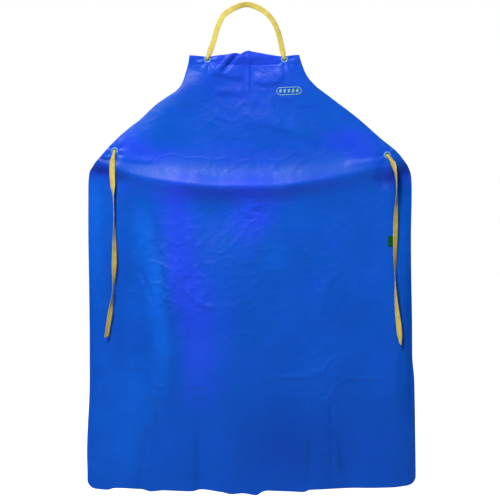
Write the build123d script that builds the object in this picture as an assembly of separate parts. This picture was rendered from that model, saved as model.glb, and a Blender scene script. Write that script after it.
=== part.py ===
from build123d import *
import math
import os

# Wipe-clean one-piece bib apron with a neck loop and two waist ties.
# Millimetres. +Z is up, +X is to the right of someone facing the apron, -Y is its front.
# The origin is the underside of the neck tape at its highest point, where a hook carries it.

# ---- sheet -------------------------------------------------------------------------------
sheet_thickness = 0.5
sheet_y = 3.6                   # the sheet hangs just behind the plane of the neck loop
side_left = -425.0              # left edge of the skirt
side_right_top = 445.0          # right edge of the skirt at the waist
side_right_bottom = 454.0       # right edge of the skirt at the bottom
bottom_corner_radius = 24.0
bib_corner_left = (-151.8, -128.6)
bib_corner_right = (143.2, -128.0)
bib_dip_z = -133.0              # the top edge sags at the two eyelets
bib_peak = (6.0, -116.0)        # the top edge stands up at the centre crease
waist_left = (side_left, -446.0)
waist_right = (side_right_top, -451.0)
# Each armhole from its bib corner: a point on its hollow, the hollow's end, the end of the
# straight slope, and a point on the rounded waist corner.
left_armhole = [(-162.0, -180.0), (-196.0, -232.0), (-372.0, -381.0), (-402.0, -412.0)]
right_armhole = [(157.0, -176.0), (196.0, -219.0), (386.0, -371.0), (426.0, -411.0)]
bottom_edge = [(-405.0, -1300.0), (-150.0, -1303.0), (10.0, -1313.0), (250.0, -1297.0), (430.0, -1284.0)]
cutting_reach = 1500.0          # longer than the sheet in any direction

# ---- fold across the waist -----------------------------------------------------------------
fold_z = -366.0
fold_gap = 2.4                  # room between the two panels for a sharp fold

# ---- top hem, patches, badge and label -----------------------------------------------------
hem_low_z = -152.0              # lower edge of the turned and welded top margin
patch_radius = 14.5
badge_centre = (116.0, -225.0)
badge_length = 67.0
badge_height = 20.0
badge_line = 1.6
badge_tilt = 1.5                # degrees
badge_bars = 5
badge_bar_share = 0.55          # of the pitch from bar to bar
badge_thickness = 0.2
label_centre = (394.5, -630.5)
label_width = 22.0
label_height = 29.0
label_thickness = 0.4
label_corner = 1.0

# ---- eyelets: a flanged barrel in front and a ring snapped on behind -----------------------
eyelet_top_x = 104.0
eyelet_top_z = -140.0
eyelet_waist_left = (-354.4, -387.3)
eyelet_waist_right = (381.1, -398.3)
bore_radius = 5.5
barrel_radius = 6.3
sheet_hole_radius = 6.5
flange_radius = 10.0
flange_height = 1.8
ring_radius = 9.5
ring_height = 1.6
ring_rounding = 0.5
barrel_lip = 0.4                # how far the barrel stands out of the ring
snap = 0.05                     # interference of ring on barrel

# ---- woven tape ----------------------------------------------------------------------------
tape_width = 15.0
tape_thickness = 1.2
folded_width = 7.5              # where it passes an eyelet the tape is folded in two
folded_thickness = 2.4
loop_plane_y = 0.0              # centre plane of the neck loop
loop_hinge_z = -126.5           # level where the loop folds against the bib
loop_hinge_gap = 1.2            # half of the gap there
tie_plane_y = -4.9              # centre plane of the hanging ties
exit_bend = 3.2                 # centreline radius where the folded tape turns into the bore
exit_fall = 14.0                # how far the folded part of a tie hangs below its eyelet
knot_overlap = 1.0              # how far the folded tape runs into its knot
knot_gap = 0.4                  # clearance between an eyelet's ring and the knot behind it
knot_radius = 8.5
knot_depth = 10.5
knot_rounding = 4.4
tail_width = 12.0
tail_length = 26.0

# Route of the neck loop's centreline, X and Z, from the left eyelet over the hook to the right.
loop_route = [
    (-99.0, loop_hinge_z + loop_hinge_gap),
    (-86.5, -91.0),
    (-77.0, -54.0),
    (-62.0, -21.0),
    (-34.0, -3.0),
    (0.0, 10.2),
    (33.0, -1.0),
    (61.0, -19.5),
    (82.0, -52.0),
    (92.5, -88.0),
    (100.0, loop_hinge_z + loop_hinge_gap),
]
# Routes of the hanging ties, X and Z, each from just below its eyelet to its cut end.
left_tie_route = [
    (-354.4, -391.0),
    (-360.5, -425.0),
    (-359.0, -480.0),
    (-355.5, -540.0),
    (-354.5, -600.0),
    (-354.0, -660.0),
    (-354.5, -715.0),
    (-358.5, -768.0),
    (-364.5, -818.0),
    (-370.5, -858.0),
    (-375.5, -889.0),
]
right_tie_route = [
    (382.5, -401.0),
    (398.0, -424.0),
    (405.5, -465.0),
    (404.5, -520.0),
    (402.5, -580.0),
    (401.0, -640.0),
    (400.5, -700.0),
    (401.0, -755.0),
    (404.5, -810.0),
    (412.5, -866.0),
    (414.5, -907.0),
]

front_y = sheet_y - sheet_thickness / 2
back_y = sheet_y + sheet_thickness / 2
lining_back_y = back_y + sheet_thickness    # back of the hem or of a patch


def save(shape, node):
    """Write one node and print what it weighs up to."""
    shape.label = node
    export_step(shape, f"parts/{node}.step")
    print(f"{node:24s} {shape.volume:10.1f} mm3")


def slab(face_xz, y_front, y_back):
    """A plane outline in X and Z, given thickness from y_front to y_back."""
    depth = y_back - y_front
    plane = Plane(origin=(0, y_back, 0), x_dir=(1, 0, 0), z_dir=(0, -1, 0))
    return extrude(plane * face_xz, amount=depth)


def drill(shape, centre_xz, radius):
    """Make a round hole from front to back."""
    tool = Cylinder(radius, cutting_reach)
    return shape - Pos(centre_xz[0], sheet_y, centre_xz[1]) * Rot(90, 0, 0) * tool


def top_edge_curve():
    return Spline(
        bib_corner_left,
        (-eyelet_top_x, bib_dip_z),
        bib_peak,
        (eyelet_top_x, bib_dip_z),
        bib_corner_right,
    )


def armhole(corner, points, waist):
    """The edge from a bib corner to the waist: hollow curve, straight slope, rounded corner."""
    on_hollow, slope_top, slope_end, on_corner = points
    hollow = ThreePointArc(corner, on_hollow, slope_top)
    slope = Line(slope_top, slope_end)
    rounded = ThreePointArc(slope_end, on_corner, waist)
    return [hollow, slope, rounded]


def apron_outline():
    """The whole sheet: bib top, two armholes, straight sides and a gently bowed bottom."""
    bottom = Spline(*bottom_edge)
    corner_left = (side_left, bottom_edge[0][1] + bottom_corner_radius)
    corner_right = (side_right_bottom, bottom_edge[-1][1] + bottom_corner_radius)
    edges = [
        top_edge_curve(),
        *armhole(bib_corner_left, left_armhole, waist_left),
        Line(waist_left, corner_left),
        RadiusArc(corner_left, bottom @ 0, -bottom_corner_radius),
        bottom,
        RadiusArc(corner_right, bottom @ 1, bottom_corner_radius),
        Line(waist_right, corner_right),
        *armhole(bib_corner_right, right_armhole, waist_right),
    ]
    return make_face(Curve(edges))


def band_between(z_low, z_high):
    """A wide strip used to divide the sheet at a level."""
    return Pos(0, (z_low + z_high) / 2) * Rectangle(cutting_reach, z_high - z_low)


def make_panels(outline):
    """The sheet in two rigid panels, divided where it folds above the waist eyelets."""
    bib = slab(outline & band_between(fold_z + fold_gap / 2, 0.0), front_y, back_y)
    skirt = slab(outline & band_between(-cutting_reach, fold_z - fold_gap / 2), front_y, back_y)
    for side in (-1, 1):
        bib = drill(bib, (side * eyelet_top_x, eyelet_top_z), sheet_hole_radius)
    for centre in (eyelet_waist_left, eyelet_waist_right):
        skirt = drill(skirt, centre, sheet_hole_radius)
    save(bib, "bib_panel")
    save(skirt, "skirt_panel")


def make_hem(outline):
    """The top margin turned to the back and welded down: a second layer behind the bib."""
    hem = slab(outline & band_between(hem_low_z, 0.0), back_y, lining_back_y)
    for side in (-1, 1):
        hem = drill(hem, (side * eyelet_top_x, eyelet_top_z), sheet_hole_radius)
    save(hem, "top_hem")


def make_patch(node, centre):
    """A welded disc that backs the sheet round a waist eyelet."""
    disc = Pos(*centre) * (Circle(patch_radius) - Circle(sheet_hole_radius))
    save(slab(disc, back_y, lining_back_y), node)


def turned(profile_faces, centre_xz):
    """Turn a radius-and-Y profile about the eyelet's own front-to-back axis."""
    ring = revolve(Plane.XY * profile_faces, Axis.Y)
    return Pos(centre_xz[0], 0, centre_xz[1]) * ring


def make_eyelet(node, centre):
    """Domed flange in front of the sheet with its barrel through sheet and lining."""
    barrel_end = lining_back_y + ring_height + barrel_lip
    crown = (flange_radius + bore_radius) / 2
    lip_y = front_y - flange_height / 2
    dome = ThreePointArc(
        (flange_radius, front_y), (crown, front_y - flange_height), (bore_radius, lip_y)
    )
    outline = Polyline(
        (bore_radius, lip_y),
        (bore_radius, barrel_end),
        (barrel_radius, barrel_end),
        (barrel_radius, front_y),
        (flange_radius, front_y),
    )
    save(turned(make_face(Curve([dome, outline])), centre), node)


def make_ring(node, centre):
    """The ring that snaps on the barrel behind the sheet, with rounded edges."""
    ring_middle = (barrel_radius + ring_radius) / 2
    profile = Pos(ring_middle, lining_back_y + ring_height / 2) * RectangleRounded(
        ring_radius - barrel_radius + 2 * snap, ring_height, ring_rounding
    )
    save(turned(profile, centre), node)


def filleted_route(points, name):
    """Straight runs joined by the largest tangent arcs that the runs leave room for."""
    radii = []
    for before, here, after in zip(points, points[1:], points[2:]):
        first = Vector(*here) - Vector(*before)
        second = Vector(*after) - Vector(*here)
        half_turn = math.radians(first.get_angle(second)) / 2
        radii.append(0.45 * min(first.length, second.length) / math.tan(half_turn))
    print(f"{name} radii: " + " ".join(f"{r:.0f}" for r in radii))
    return FilletPolyline(*points, radius=radii)


def tape_band(points, plane_y, name):
    """A flat tape of full width that lies in one front-facing plane along a route."""
    line = filleted_route([(x, plane_y, z) for x, z in points], name)
    plane = Plane(origin=line @ 0, x_dir=(0, 1, 0), z_dir=line % 0)
    band = sweep(plane * Rectangle(tape_thickness, tape_width), line)
    by_volume = band.volume / (tape_width * tape_thickness)
    print(f"{name} length {line.length:.1f} mm, volume over section {by_volume:.1f} mm")
    return band


def folded_tape(points):
    """The tape folded in two where it turns into an eyelet's bore."""
    line = FilletPolyline(*points, radius=exit_bend)
    plane = Plane(origin=line @ 0, x_dir=(1, 0, 0), z_dir=line % 0)
    return sweep(plane * Rectangle(folded_width, folded_thickness), line)


def make_knot(centre_xz):
    """A pebble-shaped stopper knot behind an eyelet, with the tape's short tail hanging down."""
    knot_front = knot_face_y()
    lump = Cylinder(knot_radius, knot_depth)
    lump = fillet(lump.edges().filter_by(GeomType.CIRCLE), knot_rounding)
    lump = Pos(0, knot_front + knot_depth / 2, 0) * Rot(90, 0, 0) * lump
    tail = Box(tail_width, tape_thickness, tail_length)
    tail = Pos(0, knot_front + knot_depth / 2, -tail_length / 2) * tail
    return Pos(centre_xz[0], 0, centre_xz[1]) * (lump + tail)


def knot_face_y():
    """Level of the knots' front faces, just clear of the eyelets' barrels."""
    return lining_back_y + ring_height + barrel_lip + knot_gap


def make_neck_knot(node, centre, upper_x):
    """Knot behind the bib with the folded tape that leads up its front to the loop."""
    x, z = centre
    way = [
        (upper_x, loop_plane_y, loop_hinge_z - loop_hinge_gap),
        (x, loop_plane_y, z),
        (x, knot_face_y() + knot_overlap, z),
    ]
    save(make_knot(centre) + folded_tape(way), node)


def make_tie(side, centre, route):
    """A hanging tie with the folded part that comes out of its eyelet, and its knot."""
    x, z = centre
    below = route[1]
    lean = (below[0] - route[0][0]) / (route[0][1] - below[1])
    way = [
        (x, knot_face_y(), z),
        (x, tie_plane_y, z),
        (x + lean * exit_fall, tie_plane_y, z - exit_fall),
    ]
    save(tape_band(route, tie_plane_y, f"{side}_tie") + folded_tape(way), f"{side}_tie_tape")
    save(make_knot(centre), f"{side}_tie_knot")


def make_badge():
    """A welded-on plain pill with a raised border and a row of bars."""
    outer = SlotOverall(badge_length, badge_height)
    inner = SlotOverall(badge_length - 2 * badge_line, badge_height - 2 * badge_line)
    mark = outer - inner
    pitch = (badge_length - badge_height) / (badge_bars - 1)
    bar_height = badge_height / 2
    for k in range(badge_bars):
        across = (k - (badge_bars - 1) / 2) * pitch
        mark = mark + Pos(across, 0) * Rectangle(pitch * badge_bar_share, bar_height)
    mark = Pos(*badge_centre) * Rot(0, 0, badge_tilt) * mark
    save(slab(mark, front_y - badge_thickness, front_y), "badge")


def make_label():
    """A small woven label stitched near the right edge."""
    patch = Pos(*label_centre) * RectangleRounded(label_width, label_height, label_corner)
    save(slab(patch, front_y - label_thickness, front_y), "side_label")


def main():
    os.makedirs("parts", exist_ok=True)
    outline = apron_outline()
    make_panels(outline)
    make_hem(outline)
    for side, sign in (("left", -1), ("right", 1)):
        centre = (sign * eyelet_top_x, eyelet_top_z)
        make_eyelet(f"{side}_top_eyelet", centre)
        make_ring(f"{side}_top_ring", centre)
        upper = loop_route[0] if sign < 0 else loop_route[-1]
        make_neck_knot(f"{side}_neck_knot", centre, upper[0])
    for side, centre, route in (
        ("left", eyelet_waist_left, left_tie_route),
        ("right", eyelet_waist_right, right_tie_route),
    ):
        make_eyelet(f"{side}_waist_eyelet", centre)
        make_ring(f"{side}_waist_ring", centre)
        make_patch(f"{side}_waist_patch", centre)
        make_tie(side, centre, route)
    save(tape_band(loop_route, loop_plane_y, "neck_loop"), "neck_tape")
    make_badge()
    make_label()


main()
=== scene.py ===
import math
import bmesh
import bpy
import numpy as np
from mathutils import Matrix, Vector, noise


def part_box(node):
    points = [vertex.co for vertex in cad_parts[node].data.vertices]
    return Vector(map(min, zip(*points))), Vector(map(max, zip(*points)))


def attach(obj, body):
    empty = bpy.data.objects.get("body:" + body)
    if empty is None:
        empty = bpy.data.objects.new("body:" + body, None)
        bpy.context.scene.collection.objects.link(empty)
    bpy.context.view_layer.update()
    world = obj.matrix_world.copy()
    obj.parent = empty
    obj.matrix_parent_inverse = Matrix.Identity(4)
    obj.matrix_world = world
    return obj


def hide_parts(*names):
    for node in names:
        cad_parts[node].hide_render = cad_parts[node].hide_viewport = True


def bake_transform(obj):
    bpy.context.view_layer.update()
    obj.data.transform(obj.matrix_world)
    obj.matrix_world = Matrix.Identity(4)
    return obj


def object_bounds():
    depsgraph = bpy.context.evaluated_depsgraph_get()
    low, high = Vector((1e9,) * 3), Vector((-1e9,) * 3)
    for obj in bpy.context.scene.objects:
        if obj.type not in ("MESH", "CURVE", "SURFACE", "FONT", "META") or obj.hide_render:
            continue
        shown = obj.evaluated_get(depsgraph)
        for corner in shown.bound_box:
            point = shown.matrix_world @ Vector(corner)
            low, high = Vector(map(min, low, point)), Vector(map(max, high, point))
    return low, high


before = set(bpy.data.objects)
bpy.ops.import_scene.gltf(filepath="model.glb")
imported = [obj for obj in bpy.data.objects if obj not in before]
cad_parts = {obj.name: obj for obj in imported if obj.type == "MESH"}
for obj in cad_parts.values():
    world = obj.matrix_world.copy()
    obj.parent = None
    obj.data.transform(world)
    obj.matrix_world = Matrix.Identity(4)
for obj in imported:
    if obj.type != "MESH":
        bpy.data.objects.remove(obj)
cad_low, cad_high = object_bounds()

# Lengths below are written in millimetres and turned into metres where a mesh is made.
MM = 0.001


def corners_of(node):
    """The low and high corners of a CAD node's box, in millimetres."""
    return np.array(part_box(node)) / MM


def middle(node):
    """Centre of a CAD node's box."""
    return corners_of(node).mean(axis=0)


SHEET_LOW, SHEET_HIGH = corners_of("skirt_panel")
SHEET_Y = (SHEET_LOW[1] + SHEET_HIGH[1]) / 2
SHEET_THICKNESS = SHEET_HIGH[1] - SHEET_LOW[1]
EYELET_NAMES = ["left_top", "right_top", "left_waist", "right_waist"]
EYELETS = [middle(name + "_eyelet") for name in EYELET_NAMES]
TOP_LEFT, TOP_RIGHT, WAIST_LEFT, WAIST_RIGHT = EYELETS
HOLE_RADIUS = 6.5               # of the holes in the sheet, round the eyelets' barrels


def put_in_scene(name, data):
    """A new object in the scene, made of a mesh, a lamp or a camera."""
    thing = bpy.data.objects.new(name, data)
    bpy.context.scene.collection.objects.link(thing)
    return thing


# ---------------- camera
VIEW_X, VIEW_Z = 10.8, -654.3   # where the camera looks
VIEW_HEIGHT = 1348.5            # what it frames, at the sheet
LENS = 80
SENSOR = 36


def make_camera():
    """Straight in front of the hanging apron, with a narrow margin above and below."""
    data = bpy.data.cameras.new("camera")
    data.lens = LENS
    data.sensor_width = SENSOR
    distance = VIEW_HEIGHT * MM * LENS / SENSOR
    camera = put_in_scene("camera", data)
    camera.location = (VIEW_X * MM, SHEET_Y * MM - distance, VIEW_Z * MM)
    camera.rotation_euler = (math.pi / 2, 0, 0)
    bpy.context.scene.camera = camera


make_camera()


# ---------------- small tools
def new_mesh(name, points_mm, faces, material):
    """A smooth mesh object from points in millimetres."""
    mesh = bpy.data.meshes.new(name)
    mesh.from_pydata([tuple(float(c) * MM for c in p) for p in points_mm], [], faces)
    mesh.polygons.foreach_set("use_smooth", [True] * len(mesh.polygons))
    mesh.materials.append(material)
    mesh.update()
    return put_in_scene(name, mesh)


def set_uv(piece, uv_of_vertex):
    """Store one flat coordinate per vertex, in metres, for the materials to follow."""
    layer = piece.data.uv_layers.new(name="flat")
    corners = np.empty(len(piece.data.loops), np.int32)
    piece.data.loops.foreach_get("vertex_index", corners)
    flat = np.asarray(uv_of_vertex)[corners] * MM
    layer.data.foreach_set("uv", flat.ravel().astype(np.float32))


def skin_faces(rings, around, closed):
    """Quads between rings of points, and from the last ring to the first if closed."""
    faces = []
    for k in range(rings if closed else rings - 1):
        this, following = k * around, (k + 1) % rings * around
        for j in range(around):
            after = (j + 1) % around
            faces.append((this + j, this + after, following + after, following + j))
    return faces


def unit(vectors):
    """The same directions with a length of one."""
    return vectors / np.linalg.norm(vectors, axis=-1, keepdims=True)


def smoothstep(x, low, high):
    """Zero below low and one above high, with a soft change between."""
    t = np.clip((x - low) / (high - low), 0.0, 1.0)
    return t * t * (3 - 2 * t)


def bell(x, width):
    """One at zero, falling to nothing on both sides within about twice the width."""
    return np.exp(-((x / width) ** 2))


def through(points):
    """A smooth curve y(x) through points, with no overshoot between them."""
    xs, ys = (np.array(v, float) for v in zip(*sorted(points)))
    steps = np.diff(xs)
    slopes = np.diff(ys) / steps
    tangents = np.zeros(len(xs))
    same = slopes[:-1] * slopes[1:] > 0
    inner = np.zeros(len(slopes) - 1)
    inner[same] = 2 / (1 / slopes[:-1][same] + 1 / slopes[1:][same])
    tangents[1:-1] = inner
    tangents[0], tangents[-1] = slopes[0], slopes[-1]

    def curve(x):
        x = np.clip(x, xs[0], xs[-1])
        k = np.clip(np.searchsorted(xs, x) - 1, 0, len(steps) - 1)
        h = steps[k]
        t = (x - xs[k]) / h
        return (
            (1 + 2 * t) * (1 - t) ** 2 * ys[k]
            + t * (1 - t) ** 2 * h * tangents[k]
            + t * t * (3 - 2 * t) * ys[k + 1]
            + t * t * (t - 1) * h * tangents[k + 1]
        )

    return curve


# ---------------- outline of the sheet
left_edge = through([
    (-128.6, -152.3), (-150, -156), (-178, -164), (-203, -172), (-223.6, -187.5), (-240, -212),
    (-262, -243.5), (-303.7, -288), (-322.6, -313), (-354.4, -349), (-401.9, -393),
    (-425, -412.5), (-446, -425), (-480, -428), (-600, -427.3), (-740, -425.5), (-897, -424),
    (-1005, -424), (-1206, -431.5), (-1262, -430.5),
])
right_edge = through([
    (-128.6, 143.2), (-153.5, 151.4), (-182.3, 163.7), (-211.2, 187.7), (-236, 219.9),
    (-298, 301.6), (-354.4, 365.2), (-394, 412.4), (-411.6, 426.5), (-429.6, 440), (-451, 448),
    (-489, 450), (-627, 446.8), (-842, 450.4), (-937, 451), (-1013, 457), (-1262, 461),
])
top_edge = through([
    (-152, -128.6), (-128, -130.6), (-104, -132.8), (-81, -129.8), (-48, -126), (-26, -122.6),
    (-15.5, -124.8), (-4, -119), (6.5, -116.2), (18, -118.8), (43, -123.4), (78, -129.6),
    (102, -132), (124, -129.2), (144, -127.6),
])
bottom_edge = through([
    (-432, -1299), (-375, -1302.5), (-354, -1297.8), (-283, -1301.5), (-257, -1308.5),
    (-218, -1304.8), (-146, -1307.2), (-123, -1303), (-65, -1309), (-38, -1315), (-11, -1313),
    (28, -1319), (45, -1309), (62, -1305.4), (119, -1307.4), (156, -1309.4), (172, -1304),
    (237, -1301), (297, -1299), (402, -1296), (423, -1294), (462, -1290),
])
TOP_Z = -128.6                  # the grid's top and bottom rows, before the two edges are drawn
BOTTOM_Z = -1303.5
CORNER_RADIUS = 22.0


def walked_along(points):
    """The distance walked along a path to each of its points."""
    steps = np.linalg.norm(np.diff(points, axis=0), axis=1)
    return np.concatenate([[0], np.cumsum(steps)])


def polyline_offset(x, z, points):
    """Signed distance to a path (positive on its right as it is walked) and the share of the
    way along it, both for every point."""
    best = np.full(x.shape, 1e9)
    signed = np.zeros(x.shape)
    share = np.zeros(x.shape)
    walked = walked_along(points)
    lengths = np.diff(walked)
    for (ax, az), (bx, bz), length, start in zip(points, points[1:], lengths, walked):
        dx, dz = (bx - ax) / length, (bz - az) / length
        along = np.clip((x - ax) * dx + (z - az) * dz, 0, length)
        ox, oz = x - ax - along * dx, z - az - along * dz
        distance = np.hypot(ox, oz)
        side = np.sign(dz * ox - dx * oz)
        nearer = distance < best
        best = np.where(nearer, distance, best)
        signed = np.where(nearer, distance * side, signed)
        share = np.where(nearer, (start + along) / walked[-1], share)
    return signed, share


def smooth_path(points, count=24):
    """A denser path through a few given points."""
    points = np.array(points, float)
    s = walked_along(points)
    at = np.linspace(0, s[-1], count)
    return list(zip(
        through(list(zip(s, points[:, 0])))(at),
        through(list(zip(s, points[:, 1])))(at),
    ))


# ---------------- relief of the hanging sheet
# The sheet is held at its four eyelets. Lines of pull run between them, the wings and the skirt
# hang behind those lines, and the swag stands proud.
LEFT_PULL = [(-104, -152), (-107, -178), (-178, -241), (-268, -331), (-342, -384)]
RIGHT_PULL = [(104, -152), (114, -180), (190, -244), (282, -332), (368, -392)]
SWAG = [
    (-424, -414), (-362, -431), (-286, -457), (-178, -475), (-60, -484), (65, -483), (173, -471),
    (290, -448), (392, -424), (446, -416),
]
WAIST_SHAPE = through([
    (-426, 13), (-400, 9), (-356, 3.5), (-300, 8), (-200, 12), (-60, 14), (60, 13), (200, 10.5),
    (340, 8), (400, 2.5), (428, 8), (448, 13),
])
MIDDLE_SHAPE = through([
    (-426, 14), (-402, 8), (-366, 7), (-318, 15), (-215, 0.5), (-140, 8), (-60, 3.5),
    (30, 8), (120, 13.5), (180, 13), (240, 9.5), (320, 10), (372, 5), (402, 2.5), (428, 7),
    (448, 14),
])
HEM_SHAPE = through([
    (-428, 16), (-405, 11), (-372, 6), (-300, 7.5), (-251, 14), (-200, 6.5), (-150, 9),
    (-119, 15), (-72, 6.5), (-20, 9), (24, 14.5), (80, 7), (150, 9.5), (200, 9), (236, 12),
    (286, 14.5), (335, 7.5), (395, 6), (430, 11), (456, 17),
])
# Distances below the origin between which one cross-section turns into the next.
WAIST_TO_MIDDLE = (560, 730)
MIDDLE_TO_HEM = (960, 1290)
SWAG_STEPS = 48
SWAG_ABOVE, SWAG_BELOW = 38, 31  # how far the swag's bulge reaches up the bib and down the skirt
SWAG_SHARPNESS = 1.5
PULL_REACH, PULL_INNER_REACH = 48, 44
# How far the parts of the sheet hang behind the plane of the eyelets. Each comes in between two
# distances below the origin, and the corners also between two distances to the side.
BIB_SETBACK, BIB_FROM = 7.0, (132, 160)
BIB_LOW_SETBACK, BIB_LOW_FROM = 3.0, (300, 400)
CORNER_SETBACK, CORNER_FROM, CORNER_UNTIL = 7, (385, 440), (460, 620)
LEFT_CORNER, RIGHT_CORNER = (356, 416), (382, 440)
# Between the lines of pull the low bib stands forward again.
BIB_SLACK, BIB_SLACK_FROM, BETWEEN_PULLS = 3.0, (345, 450), (40, 150)
# How far the swag stands proud, and further in its middle. Each comes in between two amounts
# of minus the distance from its centre.
SWAG_PROUD, SWAG_ENDS = 6.5, (-430, -350)
MIDDLE_PROUD, SWAG_MIDDLE = 6.0, (-280, -110)
SWAG_CENTRE = 10
NOISE_ORIGIN = 11.7             # added to every seed
CREASE_BEND, BEND_SEED = 0.3, 3.1
CREASE_NARROWNESS, CREASE_SHARPNESS = 5.0, 1.3
PLEATS_FROM, PLEAT_SHARPNESS = (10, 18), 1.4


def fold(x, z, path, height, above, below, fade):
    """A fold along a path: its height at the crest, and how wide it is on either side."""
    signed, share = polyline_offset(x, z, smooth_path(path))
    profile = bell(signed, np.where(signed < 0, above, below))
    ends = smoothstep(share, 0.0, fade) * smoothstep(1 - share, 0.0, fade)
    return height * profile * ends


def noise_field(x, z, size, seed):
    """Smooth noise between -1 and 1 with features about size across."""
    flat = zip((x / size).ravel(), (z / size).ravel())
    values = [noise.noise(Vector((a, b, seed + NOISE_ORIGIN))) for a, b in flat]
    return np.array(values).reshape(x.shape)


def crumple(x, z, centre, reach, size, seed, slant):
    """Sharp little creases that die out away from a centre, longer along their slant."""
    inside = bell(x - centre[0], reach[0]) * bell(z - centre[1], reach[1])
    along = x * math.cos(slant) + z * math.sin(slant)
    across = z * math.cos(slant) - x * math.sin(slant)
    bent = CREASE_BEND * size * noise_field(x, z, 1.7 * size, seed + BEND_SEED)
    away = np.abs(noise_field(0.5 * along + bent, across - bent, size, seed))
    return inside * np.clip(1 - away * CREASE_NARROWNESS, 0, 1) ** CREASE_SHARPNESS


def near_eyelets(x, z, inner, outer):
    """One at the eyelets, falling to nothing away from them."""
    away = 1.0
    for centre in EYELETS:
        away = away * smoothstep(np.hypot(x - centre[0], z - centre[2]), inner, outer)
    return 1 - away


def gathers(x, z, centre, height, reach, count, turn):
    """Little pleats that fan out of an eyelet."""
    dx, dz = x - centre[0], z - centre[2]
    radius = np.hypot(dx, dz)
    fan = np.cos(count * np.arctan2(dz, dx) + turn)
    fading = np.exp(-((radius / reach) ** PLEAT_SHARPNESS))
    return height * fan * smoothstep(radius, *PLEATS_FROM) * fading


def hang(x, z):
    """How far a point of the sheet lies behind the plane of the eyelets."""
    middle_share = smoothstep(-z, *WAIST_TO_MIDDLE)
    low_share = smoothstep(-z, *MIDDLE_TO_HEM)
    shape = WAIST_SHAPE(x) * (1 - middle_share) + MIDDLE_SHAPE(x) * middle_share
    shape = shape * (1 - low_share) + HEM_SHAPE(x) * low_share
    shape = shape + 4.0 * bell(x + 70, 190) * bell(z + 540, 50)
    from_swag, _ = polyline_offset(x, z, smooth_path(SWAG, SWAG_STEPS))
    from_left, _ = polyline_offset(x, z, smooth_path(LEFT_PULL))
    from_right, _ = polyline_offset(x, z, smooth_path(RIGHT_PULL))
    left = bell(from_left, np.where(from_left < 0, PULL_REACH, PULL_INNER_REACH))
    right = bell(from_right, np.where(from_right < 0, PULL_INNER_REACH, PULL_REACH))
    within = smoothstep(from_left, *BETWEEN_PULLS) * smoothstep(-from_right, *BETWEEN_PULLS)
    bib = BIB_SETBACK * smoothstep(-z, *BIB_FROM) + 2.0 * bell(z + 190, 60)
    bib = bib + BIB_LOW_SETBACK * smoothstep(-z, *BIB_LOW_FROM)
    bib = bib * (1 - left) * (1 - right) - BIB_SLACK * within * smoothstep(-z, *BIB_SLACK_FROM)
    # The bib's slack bulges forward down to the swag and turns in sharply under it.
    off_ends = -np.abs(x - SWAG_CENTRE)
    proud = SWAG_PROUD * smoothstep(off_ends, *SWAG_ENDS)
    proud = proud + MIDDLE_PROUD * smoothstep(off_ends, *SWAG_MIDDLE)
    above = from_swag < 0
    reach = np.where(above, SWAG_ABOVE, SWAG_BELOW)
    near = np.exp(-((np.abs(from_swag) / reach) ** SWAG_SHARPNESS))
    depth = np.where(above, bib, shape) * (1 - near) - proud * near
    corners = smoothstep(-x, *LEFT_CORNER) + smoothstep(x, *RIGHT_CORNER)
    corners = corners * smoothstep(-z, *CORNER_FROM) * (1 - smoothstep(-z, *CORNER_UNTIL))
    return depth + CORNER_SETBACK * corners


# Folds left by packing and by the way the sheet is pulled: path, height, reach above and below
# the crest, and the share of the length over which each end fades.
FOLDS = [
    ([(6.5, -108), (7, -160), (6, -245)], 2.6, 4, 5, 0.45),
    ([(-16, -118), (-36, -142), (-70, -180)], -4.6, 6, 5, 0.22),
    ([(-28, -116), (-52, -140), (-86, -176)], 2.6, 9, 5, 0.25),
    ([(-106, -176), (-72, -178), (-40, -186), (0, -188)], 3.8, 22, 6, 0.2),
    ([(12, -192), (50, -204), (84, -200), (104, -166)], 3.6, 26, 6, 0.2),
    ([(55, -124), (78, -138), (96, -146)], 1.8, 4, 5, 0.3),
    ([(-90, -230), (-42, -224), (2, -228)], 2.4, 13, 9, 0.2),
    ([(-30, -300), (60, -312), (140, -336), (215, -360)], 2.6, 26, 15, 0.2),
    ([(-352, -400), (-300, -412), (-240, -416)], 2.0, 14, 6, 0.25),
    ([(378, -408), (330, -416), (260, -424)], 1.6, 10, 6, 0.25),
    ([(-440, -436), (-392, -447), (-352, -460), (-310, -470)], -4.5, 16, 34, 0.2),
    ([(470, -440), (420, -448), (385, -460), (345, -470)], -5.5, 18, 40, 0.2),
    ([(-404, -402), (-376, -412), (-352, -411)], -2.6, 5, 4, 0.25),
    ([(60, -999), (120, -1001), (205, -996)], 2.2, 7, 4, 0.2),
    ([(262, -1002), (330, -1003), (385, -1001)], 1.8, 7, 4, 0.2),
    ([(-175, -1021), (-145, -1022), (-112, -1020)], 2.0, 9, 5, 0.2),
    ([(-400, -1020), (-330, -1016), (-280, -1018)], 0.7, 4, 4, 0.2),
    ([(233, -1050), (231, -1150), (234, -1310)], -2.6, 6, 5, 0.15),
    ([(240, -1125), (262, -1200), (290, -1300)], -5.0, 7, 16, 0.3),
    ([(-258, -1130), (-276, -1220), (-284, -1315)], -3.0, 8, 12, 0.2),
    ([(-130, -1120), (-125, -1220), (-122, -1315)], -3.0, 9, 12, 0.2),
    ([(180, -1160), (173, -1240), (166, -1315)], -3.0, 8, 11, 0.2),
    ([(58, -1215), (50, -1315)], -2.4, 8, 10, 0.2),
    ([(-262, -985), (-252, -1060), (-250, -1135)], 3.0, 10, 6, 0.3),
    ([(-163, -735), (-148, -782), (-112, -806), (-72, -814)], 3.4, 10, 6, 0.25),
    ([(-292, -700), (-268, -752), (-246, -815)], -3.0, 7, 6, 0.3),
    ([(-238, -702), (-205, -765), (-196, -800)], -1.4, 6, 6, 0.3),
    ([(240, -960), (200, -850), (215, -760), (262, -690)], 1.6, 22, 12, 0.3),
    ([(-8, -560), (18, -540), (45, -531)], 2.4, 10, 7, 0.3),
]
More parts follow.
